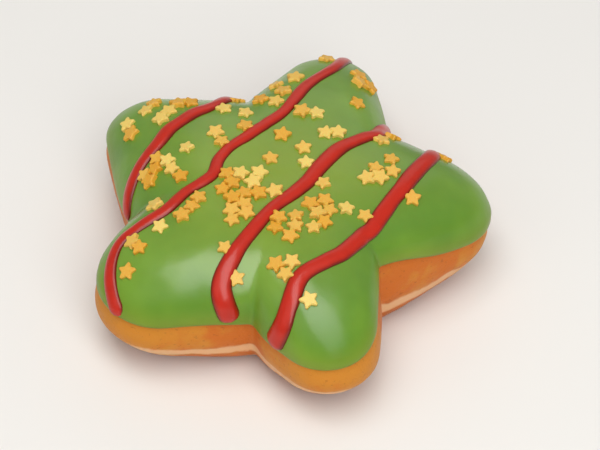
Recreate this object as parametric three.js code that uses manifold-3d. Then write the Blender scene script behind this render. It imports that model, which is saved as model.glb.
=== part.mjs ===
// A star-shaped iced doughnut, in millimetres, +Z up, resting on the flat of its base.
//
// A puffy five-lobed star of fried dough carries a thin coat of icing over its top and shoulders.
// Four wavy stripes of drizzle and a scatter of small sugar stars are fused to the icing.
// The origin lies under the middle of the whole, on the surface that it rests on.
//
// Places on the top are given on a disc of radius 1: the middle of the disc is the crown of the
// doughnut, and its rim is the widest line of the dough, so (u, w) means a direction and a share
// of the way down from the crown.
import * as THREE from "three";
import { mergeVertices } from "three/addons/utils/BufferGeometryUtils.js";
import Module from "manifold-3d";

// ---------------------------------------------------------------- driving dimensions

// The lobes, anticlockwise: direction in degrees, reach to the tip, radius of the rounded tip, and
// the share of the way from the crown to the widest line at which the icing ends on the tip.
const LOBES = [
  { angle: 19.3, reach: 52.5, tipRadius: 14, icingEdge: 0.905 },
  { angle: 89, reach: 60, tipRadius: 12, icingEdge: 0.83 },
  { angle: 154, reach: 57.7, tipRadius: 10.5, icingEdge: 0.85 },
  { angle: 229, reach: 54, tipRadius: 16.5, icingEdge: 0.82 },
  { angle: 300.4, reach: 53.5, tipRadius: 12.6, icingEdge: 0.835 },
];
// The notches between them, where the icing mostly ends sooner. Each lies just before the lobe of
// the same number.
const NOTCHES = [
  { angle: -28.5, reach: 32.5, icingEdge: 0.675 },
  { angle: 52.5, reach: 35.5, icingEdge: 0.74 },
  { angle: 120, reach: 37, icingEdge: 0.75 },
  { angle: 202, reach: 37.6, icingEdge: 0.84 },
  { angle: 272, reach: 35.2, icingEdge: 0.85 },
];
const FLANK_BULGE = 1; // how far a lobe's flank bows out between its notch and its rounded tip

const WIDEST_HEIGHT = 14.5; // height of the widest line above the table
const CROWN_RISE = 19.5; // from the widest line to the top of the dough
const BASE_DROP = 17.5; // depth of the rounded underside before the base flattens it
// Roundness of the sides: 2 is an ellipse, and more is a fuller shoulder.
const UPPER_FULLNESS = 3.8;
const LOWER_FULLNESS = 3;
const CROWN_RADIUS = 46; // the lobes melt into a round crown of about this radius
const CREASE_FADE = 1.6; // how soon the creases fade on the way up to the crown

const ICING_THICKNESS = 1.6;
const ICING_GAP = 0.45; // between dough and icing, measured in the upright plane of each section
const ICING_OUTSIDE = ICING_GAP + ICING_THICKNESS;
const ICING_EDGE_POWER = 1.5; // how long the icing's edge keeps a lobe's level on the way to a notch
const ICING_EDGE_WAVES = [
  { count: 7, height: 0.016, phase: 4.57 },
  { count: 13, height: 0.005, phase: 2.2 },
];
// The rounded edge of the icing: share further down, and share of the thickness left there.
const ICING_LIP = [
  { down: 0.028, thickness: 0.74 },
  { down: 0.042, thickness: 0.34 },
];

// Stripes of drizzle. Heights are shares of a stripe's width.
const DRIZZLE_RISE = 0.256; // above the icing
const DRIZZLE_ROOT = 0.116; // sunk into the icing
const DRIZZLE_STEP = 4; // along a stripe
const DRIZZLE_TENSION = 0.5; // how roundly a stripe takes its bends
const DRIZZLE_OVERRUN = 0.03; // how far on the disc a stripe runs on over the icing's edge
const DRIZZLE_SAG_FROM = 0.4; // how far to the front on the disc a stripe starts to broaden
const DRIZZLE_SAG = 0.5; // how much broader it would be at the very front
// Width of each stripe, and its bends on the disc. It is piped clean across.
const DRIZZLE_STRIPES = [
  {
    width: 4.2,
    bends: [[-0.46, 0.74], [-0.37, 0.42], [-0.385, 0.23], [-0.48, 0.115], [-0.64, -0.035],
      [-0.82, -0.24]],
  },
  {
    width: 3.5,
    bends: [[0.04, 0.95], [0.03, 0.64], [-0.035, 0.46], [-0.075, 0.33], [-0.14, 0.245], [-0.185, 0.135],
      [-0.24, 0.03], [-0.255, -0.06], [-0.33, -0.15], [-0.37, -0.24], [-0.46, -0.325], [-0.525, -0.39],
      [-0.535, -0.47], [-0.515, -0.6], [-0.49, -0.75]],
  },
  {
    width: 4.2,
    bends: [[0.45, 0.84], [0.34, 0.44], [0.26, 0.31], [0.17, 0.19], [0.115, 0.07], [0.085, -0.025],
      [0.01, -0.155], [-0.035, -0.28], [-0.085, -0.44], [-0.115, -0.62], [-0.07, -0.84]],
  },
  {
    width: 4.4,
    bends: [[0.7, 0.66], [0.518, 0.33], [0.43, 0.12], [0.43, -0.07], [0.428, -0.205], [0.34, -0.28],
      [0.24, -0.34], [0.175, -0.43], [0.172, -0.58], [0.175, -0.72], [0.155, -0.9]],
  },
];

const STAR_RADIUS = 2.8; // of a sugar star, to its points
const STAR_WAIST = 0.5; // inner radius as a share of the outer one
const STAR_THICKNESS = 1.5;
const STAR_ROOT = 0.65; // sunk into the icing
const STAR_TILT = 9; // degrees, the most that a star leans
const STAR_SPACING = 3.1; // least distance between the middles of two stars
const STAR_CLEAR = 5; // distance from which a star no longer lies on its neighbour
const STAR_STACK = 0.9; // how far a star would be held up by one in its own place
const STAR_TO_DRIZZLE = 3; // least distance from a star's middle to the middle of a stripe
const STAR_TRIES = 60; // before a star that finds no free place is left out
const STAR_SEED = 20486;
// Where the sugar stars fell: middle and half-widths of each patch on the disc, and how many.
const STAR_PATCHES = [
  { u: -0.555, w: 0.28, across: 0.03, along: 0.045, count: 2 },
  { u: -0.47, w: 0.225, across: 0.025, along: 0.03, count: 2 },
  { u: -0.44, w: 0.31, across: 0.03, along: 0.03, count: 2 },
  { u: -0.64, w: 0.185, across: 0.01, along: 0.035, count: 2 },
  { u: -0.265, w: 0.125, across: 0.035, along: 0.03, count: 2 },
  { u: -0.375, w: 0.07, across: 0.01, along: 0.01, count: 1 },
  { u: -0.325, w: 0.32, across: 0.01, along: 0.01, count: 1 },
  { u: -0.34, w: 0.51, across: 0.01, along: 0.01, count: 1 },
  { u: -0.24, w: 0.32, across: 0.04, along: 0.03, count: 2 },
  { u: -0.205, w: 0.22, across: 0.01, along: 0.01, count: 1 },
  { u: -0.2, w: 0.43, across: 0.03, along: 0.02, count: 2 },
  { u: -0.13, w: 0.505, across: 0.06, along: 0.07, count: 3 },
  { u: -0.125, w: 0.385, across: 0.01, along: 0.01, count: 1 },
  { u: -0.56, w: -0.06, across: 0.045, along: 0.045, count: 3 },
  { u: -0.48, w: -0.03, across: 0.05, along: 0.055, count: 4 },
  { u: -0.4, w: -0.07, across: 0.04, along: 0.04, count: 2 },
  { u: -0.28, w: -0.19, across: 0.05, along: 0.055, count: 4 },
  { u: -0.455, w: -0.24, across: 0.01, along: 0.01, count: 1 },
  { u: -0.175, w: -0.065, across: 0.04, along: 0.06, count: 4 },
  { u: -0.095, w: -0.03, across: 0.02, along: 0.03, count: 2 },
  { u: -0.105, w: -0.125, across: 0.05, along: 0.045, count: 4 },
  { u: -0.11, w: -0.24, across: 0.045, along: 0.04, count: 3 },
  { u: -0.125, w: -0.395, across: 0.01, along: 0.045, count: 2 },
  { u: -0.05, w: 0.2, across: 0.01, along: 0.01, count: 1 },
  { u: 0.03, w: 0.15, across: 0.01, along: 0.01, count: 1 },
  { u: -0.065, w: 0.07, across: 0.01, along: 0.01, count: 1 },
  { u: 0.14, w: 0, across: 0.01, along: 0.01, count: 1 },
  { u: 0.035, w: -0.235, across: 0.025, along: 0.04, count: 2 },
  { u: 0.09, w: -0.215, across: 0.03, along: 0.08, count: 3 },
  { u: 0.17, w: -0.12, across: 0.065, along: 0.045, count: 4 },
  { u: 0.275, w: -0.1, across: 0.02, along: 0.02, count: 1 },
  { u: 0.18, w: -0.205, across: 0.04, along: 0.025, count: 2 },
  { u: 0.365, w: -0.11, across: 0.015, along: 0.015, count: 1 },
  { u: 0.32, w: 0.318, across: 0.01, along: 0.01, count: 1 },
  { u: 0.385, w: 0.43, across: 0.01, along: 0.02, count: 1 },
  { u: 0.575, w: 0.38, across: 0.01, along: 0.01, count: 1 },
  { u: 0.3, w: 0.09, across: 0.03, along: 0.035, count: 3 },
  { u: 0.345, w: 0.18, across: 0.035, along: 0.02, count: 2 },
  { u: 0.365, w: 0.12, across: 0.01, along: 0.01, count: 1 },
  { u: 0.48, w: 0.03, across: 0.01, along: 0.01, count: 1 },
  { u: -0.01, w: 0.7, across: 0.02, along: 0.02, count: 1 },
  { u: 0.105, w: 0.62, across: 0.03, along: 0.05, count: 2 },
  { u: 0.185, w: 0.66, across: 0.01, along: 0.01, count: 1 },
  { u: 0.17, w: 0.49, across: 0.01, along: 0.01, count: 1 },
  { u: 0.02, w: 0.325, across: 0.05, along: 0.015, count: 3 },
  { u: 0.1, w: 0.25, across: 0.04, along: 0.03, count: 3 },
  { u: 0.11, w: -0.445, across: 0.035, along: 0.07, count: 3 },
  { u: 0.22, w: -0.515, across: 0.01, along: 0.01, count: 1 },
  { u: -0.06, w: -0.57, across: 0.01, along: 0.01, count: 1 },
  { u: -0.44, w: -0.395, across: 0.03, along: 0.03, count: 2 },
  { u: -0.435, w: -0.495, across: 0.015, along: 0.02, count: 1 },
  { u: -0.35, w: -0.325, across: 0.02, along: 0.025, count: 1 },
  { u: 0, w: -0.08, across: 0.01, along: 0.01, count: 1 },
  { u: 0.072, w: 0.085, across: 0.01, along: 0.01, count: 1 },
  { u: 0.138, w: 0.278, across: 0.01, along: 0.01, count: 1 },
  { u: -0.291, w: -0.251, across: 0.01, along: 0.01, count: 1 },
];

// How finely the surfaces are divided.
const STEPS_PER_FLANK = 6; // from a notch to a tip
const ROWS_UNDER_ICING = 8;
const ROWS_ON_SIDE = 2; // from the icing's edge to the widest line
const ROWS_BELOW = 5; // from the widest line to the base
const DRIZZLE_FINENESS = 12; // trial places from each bend to the next
const SLOPE_STEP = 1e-3; // for a surface's direction, as a share of the disc
const FUSING_TOLERANCE = 0.05; // slivers narrower than this are smoothed away where toppings are fused

// ---------------------------------------------------------------- the form of the star

const radians = THREE.MathUtils.degToRad;
const clamp = THREE.MathUtils.clamp;
const TURN = 2 * Math.PI;

// Each flank runs from a lobe's tip to the notch on one side of it.
function flanksOfLobe(lobe, index) {
  const next = NOTCHES[(index + 1) % NOTCHES.length];
  const wrap = index + 1 === NOTCHES.length ? 360 : 0;
  return [
    { lobe, notch: NOTCHES[index], side: -1, span: radians(lobe.angle - NOTCHES[index].angle) },
    { lobe, notch: next, side: 1, span: radians(next.angle + wrap - lobe.angle) },
  ];
}

const FLANKS = LOBES.flatMap(flanksOfLobe);

// Which flank a direction falls in, and how far it lies from the tip.
function findFlank(angle) {
  for (const flank of FLANKS) {
    const fromTip = flank.side * (angle - radians(flank.lobe.angle));
    const turned = fromTip - TURN * Math.floor(fromTip / TURN);
    if (turned <= flank.span + 1e-9) {
      return { flank, fromTip: turned };
    }
  }
  throw new Error("the flanks leave a gap");
}

// Distance from the middle to the widest line: a round tip, then a slightly bowed flank.
function outlineRadius(angle) {
  const { flank, fromTip } = findFlank(angle);
  const { reach, tipRadius } = flank.lobe;
  const centre = reach - tipRadius;
  const notch = new THREE.Vector2(flank.notch.reach, 0).rotateAround(new THREE.Vector2(), flank.span);
  const toNotch = notch.clone().sub(new THREE.Vector2(centre, 0));
  const leave = toNotch.angle() - Math.acos(clamp(tipRadius / toNotch.length(), -1, 1));
  const tangent = new THREE.Vector2(Math.cos(leave), Math.sin(leave)).multiplyScalar(tipRadius);
  tangent.x += centre;
  const tangentAngle = tangent.angle();
  if (fromTip <= tangentAngle) {
    const across = centre * Math.sin(fromTip);
    return centre * Math.cos(fromTip) + Math.sqrt(tipRadius * tipRadius - across * across);
  }
  const line = notch.clone().sub(tangent);
  const straight = (tangent.x * line.y - tangent.y * line.x)
    / (Math.cos(fromTip) * line.y - Math.sin(fromTip) * line.x);
  const along = (fromTip - tangentAngle) / (flank.span - tangentAngle);
  return straight + FLANK_BULGE * Math.sin(Math.PI * along);
}

// Share of the way from the crown to the widest line at which the icing ends.
function icingEdge(angle) {
  const { flank, fromTip } = findFlank(angle);
  const towardsNotch = (1 - Math.cos((Math.PI * fromTip) / flank.span)) / 2;
  const { lobe, notch } = flank;
  const share = lobe.icingEdge + (notch.icingEdge - lobe.icingEdge) * towardsNotch ** ICING_EDGE_POWER;
  const waves = ICING_EDGE_WAVES.map((wave) => wave.height * Math.sin(wave.count * angle + wave.phase));
  return waves.reduce((sum, height) => sum + height, share);
}

const LIP_LENGTH = ICING_LIP[ICING_LIP.length - 1].down;

// Radius and height of the dough's upper or lower surface, in the upright plane of a direction.
function section(angle, share, upper) {
  const spread = Math.sin((share * Math.PI) / 2);
  const sharp = spread ** CREASE_FADE;
  const radius = spread * (CROWN_RADIUS * (1 - sharp) + outlineRadius(angle) * sharp);
  const rise = Math.sqrt(Math.max(1 - spread ** (upper ? UPPER_FULLNESS : LOWER_FULLNESS), 0));
  const height = upper ? WIDEST_HEIGHT + CROWN_RISE * rise : Math.max(WIDEST_HEIGHT - BASE_DROP * rise, 0);
  return new THREE.Vector2(radius, height);
}

// A point of the upper surface, moved outwards by an offset within its own upright plane.
function topPoint(angle, share, offset) {
  const point = section(angle, share, true);
  if (offset > 0) {
    const before = section(angle, Math.max(share - SLOPE_STEP, 0), true);
    const slope = section(angle, Math.min(share + SLOPE_STEP, 1), true).sub(before).normalize();
    point.x -= slope.y * offset;
    point.y += slope.x * offset;
  }
  return new THREE.Vector3(point.x * Math.cos(angle), point.x * Math.sin(angle), point.y);
}

function bottomPoint(angle, share) {
  const point = section(angle, share, false);
  return new THREE.Vector3(point.x * Math.cos(angle), point.x * Math.sin(angle), point.y);
}

// The directions in which every surface is divided, so that each tip and notch has its own.
function directionsOfFlank(flank) {
  const steps = Array.from({ length: STEPS_PER_FLANK }, (_, step) => step / STEPS_PER_FLANK);
  const start = flank.side > 0 ? radians(flank.lobe.angle) : radians(flank.notch.angle);
  return steps.map((share) => start + share * flank.span);
}

const DIRECTIONS = FLANKS.flatMap(directionsOfFlank);

// ---------------------------------------------------------------- closed meshes from rings

// Joins rings of equal length into one closed skin, each end drawn to its own middle point.
// The rings go from the top of the outside, down, and back to where the skin closes.
function closedSkin(firstPole, rings, lastPole) {
  const count = rings[0].length;
  const points = [firstPole, ...rings.flat(), lastPole];
  const at = (ring, column) => 1 + ring * count + (column % count);
  const last = points.length - 1;
  const triangles = [];
  for (let column = 0; column < count; column += 1) {
    triangles.push(0, at(0, column), at(0, column + 1));
    for (let ring = 0; ring + 1 < rings.length; ring += 1) {
      triangles.push(at(ring, column), at(ring + 1, column), at(ring + 1, column + 1));
      triangles.push(at(ring, column), at(ring + 1, column + 1), at(ring, column + 1));
    }
    triangles.push(last, at(rings.length - 1, column + 1), at(rings.length - 1, column));
  }
  const geometry = new THREE.BufferGeometry().setFromPoints(points);
  geometry.setIndex(triangles);
  return geometry;
}

function ringOfTop(offset, shareAt) {
  return DIRECTIONS.map((angle) => topPoint(angle, shareAt(angle), offset));
}

// Shares of the way down for the rows that dough and icing have in common.
function rowUnderIcing(row) {
  return (angle) => ((icingEdge(angle) + LIP_LENGTH) * row) / ROWS_UNDER_ICING;
}

function rowsUnderIcing(offset) {
  const rows = Array.from({ length: ROWS_UNDER_ICING }, (_, row) => row + 1);
  return rows.map((row) => ringOfTop(offset, rowUnderIcing(row)));
}

function makeDough() {
  const rings = rowsUnderIcing(0);
  for (let row = 1; row <= ROWS_ON_SIDE; row += 1) {
    const share = row / ROWS_ON_SIDE;
    rings.push(ringOfTop(0, (angle) => THREE.MathUtils.lerp(icingEdge(angle) + LIP_LENGTH, 1, share)));
  }
  // The base is flat where the rounded underside would reach below the table.
  const flatSpread = (1 - (WIDEST_HEIGHT / BASE_DROP) ** 2) ** (1 / LOWER_FULLNESS);
  const flatShare = (2 / Math.PI) * Math.asin(flatSpread);
  for (let row = 1; row <= ROWS_BELOW; row += 1) {
    const share = THREE.MathUtils.lerp(1, flatShare, row / ROWS_BELOW);
    rings.push(DIRECTIONS.map((angle) => bottomPoint(angle, share)));
  }
  return closedSkin(topPoint(0, 0, 0), rings, new THREE.Vector3());
}

function makeIcingCoat() {
  const rows = Array.from({ length: ROWS_UNDER_ICING - 1 }, (_, row) => row + 1);
  const rings = rows.map((row) => ringOfTop(ICING_OUTSIDE, rowUnderIcing(row)));
  rings.push(ringOfTop(ICING_OUTSIDE, icingEdge));
  for (const { down, thickness } of ICING_LIP) {
    rings.push(ringOfTop(ICING_GAP + thickness * ICING_THICKNESS, (angle) => icingEdge(angle) + down));
  }
  rings.push(...rowsUnderIcing(ICING_GAP).reverse());
  return closedSkin(topPoint(0, 0, ICING_OUTSIDE), rings, topPoint(0, 0, ICING_GAP));
}

// ---------------------------------------------------------------- places on the icing

// A place on the icing's outer face, from disc coordinates.
function onIcing(u, w) {
  return topPoint(Math.atan2(w, u), Math.hypot(u, w), ICING_OUTSIDE);
}

function icingNormal(u, w) {
  const eastwards = onIcing(u + SLOPE_STEP, w).sub(onIcing(u - SLOPE_STEP, w));
  const northwards = onIcing(u, w + SLOPE_STEP).sub(onIcing(u, w - SLOPE_STEP));
  return eastwards.cross(northwards).normalize();
}

// ---------------------------------------------------------------- drizzle

// Middle line of a stripe, as disc places at even steps along the icing.
function stripeLine({ bends }) {
  const passed = bends.map(([u, w]) => new THREE.Vector3(u, w, 0));
  const curve = new THREE.CatmullRomCurve3(passed, false, "catmullrom", DRIZZLE_TENSION);
  const fine = curve.getPoints(bends.length * DRIZZLE_FINENESS)
    .filter((place) => place.length() <= icingEdge(Math.atan2(place.y, place.x)) + DRIZZLE_OVERRUN);
  const places = [fine[0]];
  for (const place of fine) {
    const from = places[places.length - 1];
    if (onIcing(place.x, place.y).distanceTo(onIcing(from.x, from.y)) >= DRIZZLE_STEP) {
      places.push(place);
    }
  }
  return places;
}

const STRIPE_LINES = DRIZZLE_STRIPES.map(stripeLine);

// Section of a stripe, in shares of its width: across, and above or below the icing.
const DRIZZLE_SECTION = [
  [0.5, -DRIZZLE_ROOT],
  [0.36, 0.7 * DRIZZLE_RISE],
  [0, DRIZZLE_RISE],
  [-0.36, 0.7 * DRIZZLE_RISE],
  [-0.5, -DRIZZLE_ROOT],
];

// A stripe broadens towards the front, where it sags down the steep side.
function widthAt(stripe, place) {
  const low = Math.max(-place.y - DRIZZLE_SAG_FROM, 0) / (1 - DRIZZLE_SAG_FROM);
  return stripe.width * (1 + DRIZZLE_SAG * low);
}

function makeStripe(stripe, number) {
  const line = STRIPE_LINES[number];
  const middles = line.map((place) => onIcing(place.x, place.y));
  const rings = line.map((place, index) => {
    const before = middles[Math.max(index - 1, 0)];
    const after = middles[Math.min(index + 1, line.length - 1)];
    const normal = icingNormal(place.x, place.y);
    const across = after.clone().sub(before).cross(normal).normalize();
    const width = widthAt(stripe, place);
    return DRIZZLE_SECTION.map(([side, height]) => middles[index].clone()
      .addScaledVector(across, side * width)
      .addScaledVector(normal, height * width));
  });
  return closedSkin(middles[0], rings, middles[middles.length - 1]);
}

// ---------------------------------------------------------------- sugar stars

// An even draw between 0 and 1 that gives the same numbers each time.
function makeDraw(seed) {
  let state = seed;
  return () => {
    state = (state * 16807) % 2147483647;
    return state / 2147483647;
  };
}

function clearOfDrizzle(point) {
  return STRIPE_LINES.flat().every(
    (place) => onIcing(place.x, place.y).distanceTo(point) >= STAR_TO_DRIZZLE,
  );
}

// Every star takes five draws a try: two for its place, one for its turn, two for its lean. One that
// comes to lie close to others is held up by them.
function scatterStars() {
  const draw = makeDraw(STAR_SEED);
  const stars = [];
  for (const patch of STAR_PATCHES) {
    let wanted = patch.count;
    for (let attempt = 0; attempt < STAR_TRIES && wanted > 0; attempt += 1) {
      const away = Math.sqrt(draw());
      const heading = TURN * draw();
      const star = {
        u: patch.u + patch.across * away * Math.cos(heading),
        w: patch.w + patch.along * away * Math.sin(heading),
        turn: TURN * draw(),
        leanEast: radians(STAR_TILT) * (2 * draw() - 1),
        leanNorth: radians(STAR_TILT) * (2 * draw() - 1),
      };
      star.point = onIcing(star.u, star.w);
      const nearest = Math.min(STAR_CLEAR, ...stars.map((other) => other.point.distanceTo(star.point)));
      star.lift = STAR_STACK * (1 - nearest / STAR_CLEAR);
      if (nearest >= STAR_SPACING && clearOfDrizzle(star.point)) {
        stars.push(star);
        wanted -= 1;
      }
    }
  }
  return stars;
}

function makeStarShape() {
  const corners = Array.from({ length: 10 }, (_, corner) => {
    const radius = corner % 2 === 0 ? STAR_RADIUS : STAR_RADIUS * STAR_WAIST;
    const angle = (corner * TURN) / 10;
    return new THREE.Vector2(radius * Math.cos(angle), radius * Math.sin(angle));
  });
  return new THREE.Shape(corners);
}

function makeSugarStar(star) {
  const pressed = { depth: STAR_THICKNESS, bevelEnabled: false };
  const geometry = new THREE.ExtrudeGeometry(makeStarShape(), pressed);
  geometry.translate(0, 0, -STAR_ROOT);
  geometry.rotateZ(star.turn);
  geometry.rotateX(star.leanEast);
  geometry.rotateY(star.leanNorth);
  const normal = icingNormal(star.u, star.w);
  geometry.applyQuaternion(new THREE.Quaternion().setFromUnitVectors(new THREE.Vector3(0, 0, 1), normal));
  const place = star.point.clone().addScaledVector(normal, star.lift);
  geometry.translate(place.x, place.y, place.z);
  return geometry;
}

// ---------------------------------------------------------------- joining

const wasm = await Module();
wasm.setup();

function toSolid(geometry) {
  const bare = geometry.clone();
  bare.deleteAttribute("normal");
  bare.deleteAttribute("uv");
  const merged = mergeVertices(bare);
  return new wasm.Manifold(new wasm.Mesh({
    numProp: 3,
    vertProperties: new Float32Array(merged.attributes.position.array),
    triVerts: new Uint32Array(merged.index.array),
  }));
}

function toGeometry(solid) {
  const mesh = solid.getMesh();
  const geometry = new THREE.BufferGeometry();
  geometry.setAttribute("position", new THREE.BufferAttribute(new Float32Array(mesh.vertProperties), 3));
  geometry.setIndex(new THREE.BufferAttribute(new Uint32Array(mesh.triVerts), 1));
  return geometry;
}

function makeIcing() {
  const toppings = [...DRIZZLE_STRIPES.map(makeStripe), ...scatterStars().map(makeSugarStar)];
  const fused = toppings.reduce((solid, topping) => solid.add(toSolid(topping)), toSolid(makeIcingCoat()));
  // Fusing can seal in a sliver of air, whose skin is a body of its own: only the icing is kept.
  const bodies = fused.simplify(FUSING_TOLERANCE).decompose();
  return toGeometry(bodies.reduce((kept, body) => (body.volume() > kept.volume() ? body : kept)));
}

// ---------------------------------------------------------------- the doughnut

function addPart(group, name, geometry, colour, roughness) {
  geometry.computeVertexNormals();
  const material = new THREE.MeshStandardMaterial({ color: colour, roughness, metalness: 0 });
  const mesh = new THREE.Mesh(geometry, material);
  mesh.name = name;
  group.add(mesh);
}

const doughnut = new THREE.Group();
addPart(doughnut, "dough", makeDough(), 0xc98a45, 0.75);
addPart(doughnut, "icing", makeIcing(), 0x6c9344, 0.3);

// The lobes differ in length, so the whole is moved to stand evenly about the origin.
const box = new THREE.Box3().setFromObject(doughnut);
const middle = box.getCenter(new THREE.Vector3());
doughnut.position.set(-middle.x, -middle.y, 0);
doughnut.updateMatrixWorld(true);

export default doughnut;
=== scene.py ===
"""Dresses a star-shaped iced doughnut and sets it in a plain studio.

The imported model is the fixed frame, and every piece here rides on its one body. Lengths are in
millimetres, except in the studio and in meshes, which have metres. A place on the icing is given on
a disc of radius 1: its middle is the crown of the doughnut and its rim the widest line of the dough,
so (u, w) is a direction and a share of the way down from the crown.
"""
import logging
import math
from collections.abc import Callable
from dataclasses import dataclass, replace
from enum import Enum
from typing import TypeAlias

import bpy
import numpy as np
from mathutils import Matrix, Quaternion, Vector, noise
from mathutils.bvhtree import BVHTree

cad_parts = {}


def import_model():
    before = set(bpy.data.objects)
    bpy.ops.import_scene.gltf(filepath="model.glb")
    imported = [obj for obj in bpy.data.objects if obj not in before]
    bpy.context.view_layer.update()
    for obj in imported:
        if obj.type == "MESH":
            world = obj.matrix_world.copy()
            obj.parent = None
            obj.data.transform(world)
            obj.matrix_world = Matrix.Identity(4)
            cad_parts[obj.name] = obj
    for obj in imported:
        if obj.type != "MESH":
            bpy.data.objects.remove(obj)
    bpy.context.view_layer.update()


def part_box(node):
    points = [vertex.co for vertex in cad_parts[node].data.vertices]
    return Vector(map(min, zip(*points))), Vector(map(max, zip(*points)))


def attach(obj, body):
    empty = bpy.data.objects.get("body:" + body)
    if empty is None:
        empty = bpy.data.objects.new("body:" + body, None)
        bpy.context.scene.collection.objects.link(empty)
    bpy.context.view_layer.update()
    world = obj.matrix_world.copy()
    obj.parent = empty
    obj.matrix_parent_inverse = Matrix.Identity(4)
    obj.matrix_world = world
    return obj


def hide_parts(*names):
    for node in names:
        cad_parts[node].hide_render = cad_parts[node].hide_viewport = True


LOG = logging.getLogger("doughnut")
BODY = "root"
MM = 0.001
TURN = 2 * math.pi
TINY = 1e-9  # radians, for a direction on the seam between two flanks
SLOPE_STEP = 1e-3  # on the disc, for finding how a surface slopes
LAYERS_APART = 11.3  # between the places that two layers of noise are read at
WELD = 0.01  # corners closer than this are made one

Number: TypeAlias = "Wire | float"
Band: TypeAlias = tuple[float, float]


class Slot(Enum):
    """The record's material slots."""

    DOUGH = "dough"
    ICING = "icing"
    DRIZZLE = "drizzle"
    SUGAR_STARS = "sugar_stars"


# ---------------------------------------------------------------- node trees


class Wire:
    """An output socket, on which sums are written as Python expressions."""

    def __init__(self, graph: "Graph", socket: bpy.types.NodeSocket) -> None:
        """Holds the socket and the graph that it belongs to."""
        self.graph = graph
        self.socket = socket

    def __add__(self, other: Number) -> "Wire":
        """This plus other."""
        return self.graph.math("ADD", self, other)

    def __radd__(self, other: Number) -> "Wire":
        """Other plus this."""
        return self.graph.math("ADD", other, self)

    def __sub__(self, other: Number) -> "Wire":
        """This less other."""
        return self.graph.math("SUBTRACT", self, other)

    def __rsub__(self, other: Number) -> "Wire":
        """Other less this."""
        return self.graph.math("SUBTRACT", other, self)

    def __mul__(self, other: Number) -> "Wire":
        """This times other."""
        return self.graph.math("MULTIPLY", self, other)

    def __rmul__(self, other: Number) -> "Wire":
        """Other times this."""
        return self.graph.math("MULTIPLY", other, self)

    def __truediv__(self, other: Number) -> "Wire":
        """This over other."""
        return self.graph.math("DIVIDE", self, other)

    def __rtruediv__(self, other: Number) -> "Wire":
        """Other over this."""
        return self.graph.math("DIVIDE", other, self)

    def __abs__(self) -> "Wire":
        """This without its sign."""
        return self.graph.math("ABSOLUTE", self)

    def other(self, name: str) -> "Wire":
        """Another output of the same node.

        Args:
            name: The output's name.

        Returns:
            That output.
        """
        return Wire(self.graph, self.socket.node.outputs[name])


class Graph:
    """Builds one node tree, for a material or for Geometry Nodes."""

    MIX_COLOUR_SOCKETS = (0, 6, 7)
    MIX_COLOUR_RESULT = 2

    def __init__(self, tree: bpy.types.NodeTree) -> None:
        """Holds the tree that the nodes go in."""
        self.tree = tree

    def node(
        self,
        kind: str,
        settings: dict[str, object] | None = None,
        inputs: dict[str | int, object] | None = None,
        output: str | int = 0,
    ) -> Wire:
        """Adds one node.

        Args:
            kind: The node's type.
            settings: Values for the node's own settings, set before its sockets.
            inputs: Values or wires for its sockets, by name or number.
            output: The output to return.

        Returns:
            That output of the new node.
        """
        made = self.tree.nodes.new(kind)
        for name, value in (settings or {}).items():
            setattr(made, name, value)
        for name, value in (inputs or {}).items():
            self.feed(made.inputs[name], value)
        return Wire(self, made.outputs[output])

    def feed(self, socket: bpy.types.NodeSocket, value: object) -> None:
        """Links a wire to a socket, or sets the socket's own value.

        Args:
            socket: The socket to feed.
            value: A wire or a plain value.
        """
        if isinstance(value, Wire):
            self.tree.links.new(value.socket, socket)
        else:
            socket.default_value = value

    def math(self, operation: str, *operands: Number) -> Wire:
        """Adds a Math node for a sum on numbers."""
        return self.node("ShaderNodeMath", {"operation": operation}, dict(enumerate(operands)))

    def vector(self, operation: str, *operands: object) -> Wire:
        """Adds a Vector Math node for a sum on vectors."""
        return self.node("ShaderNodeVectorMath", {"operation": operation}, dict(enumerate(operands)))

    def scaled(self, vector: Wire, factor: Number) -> Wire:
        """A vector made longer or shorter."""
        inputs = {"Vector": vector, "Scale": factor}
        return self.node("ShaderNodeVectorMath", {"operation": "SCALE"}, inputs)

    def length(self, vector: Wire) -> Wire:
        """How long a vector is."""
        return self.node("ShaderNodeVectorMath", {"operation": "LENGTH"}, {"Vector": vector}, "Value")

    def mix(self, share: Number, first: "Wire | str", second: "Wire | str") -> Wire:
        """Mixes two colours, each a wire or a screen colour's code.

        Args:
            share: How much of the second colour; less than 0 is none, and more than 1 is all.
            first: The colour at 0.
            second: The colour at 1.

        Returns:
            The mixed colour.
        """
        colours = [colour(end) if isinstance(end, str) else end for end in (first, second)]
        inputs = dict(zip(self.MIX_COLOUR_SOCKETS, (share, *colours)))
        return self.node("ShaderNodeMix", {"data_type": "RGBA"}, inputs, self.MIX_COLOUR_RESULT)

    def ease(self, value: Wire, start: float, end: float) -> Wire:
        """Rises smoothly from 0 to 1 as the value goes from start to end."""
        inputs = {"Value": value, "From Min": start, "From Max": end}
        return self.node("ShaderNodeMapRange", {"interpolation_type": "SMOOTHSTEP"}, inputs)


def colour(code: str) -> tuple[float, float, float, float]:
    """Turns a screen colour such as "#6C9344" into the linear one that nodes take.

    Args:
        code: A hash and six hexadecimal digits.

    Returns:
        Red, green, blue and an alpha of 1.
    """
    parts = [int(code[at : at + 2], 16) / 255 for at in (1, 3, 5)]
    linear = [part / 12.92 if part <= 0.04045 else ((part + 0.055) / 1.055) ** 2.4 for part in parts]
    return (*linear, 1.0)


# ---------------------------------------------------------------- finishes


@dataclass(frozen=True)
class Grain:
    """Even noise: the width of its patches, how detailed they are and how strongly they tell."""

    width: float
    detail: float = 2.0
    strength: float = 1.0


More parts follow.
